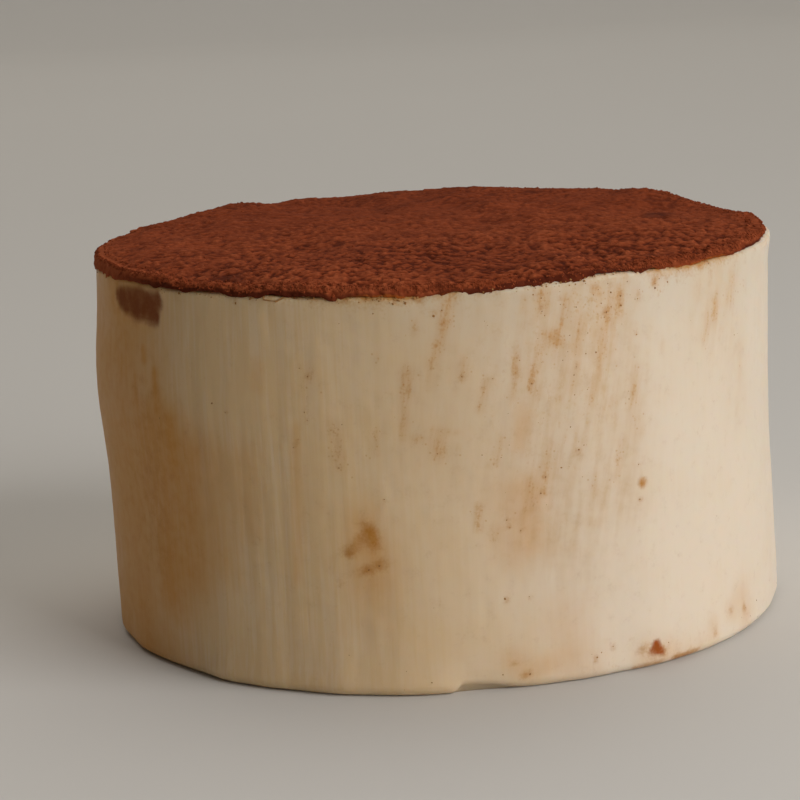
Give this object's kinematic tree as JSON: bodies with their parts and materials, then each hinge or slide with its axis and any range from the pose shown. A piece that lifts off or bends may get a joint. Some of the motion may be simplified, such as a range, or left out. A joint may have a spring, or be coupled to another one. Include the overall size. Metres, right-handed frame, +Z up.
{
  "type": "tiramisu",
  "caption": "Round single-serving tiramisu turned out of a ring: an upright cylinder of pale cream, its whole top covered with a layer of sifted cocoa.",
  "frame": {"origin": "middle of the base, on the surface that the dessert stands on", "axes": "+Z up along the cylinder's axis, -Y towards the side that the picture shows, +X to its right"},
  "size_m": [0.0804, 0.0802, 0.0465],
  "materials": {
    "cream": "moist satin cream, ivory, with fine upright drag lines and tan smears",
    "cocoa": "dry matt powder, reddish brown, clumped, damp and darker in spots"
  },
  "bodies": {
    "root": {"cream": "cream", "cocoa": "cocoa"}
  },
  "joints": []
}
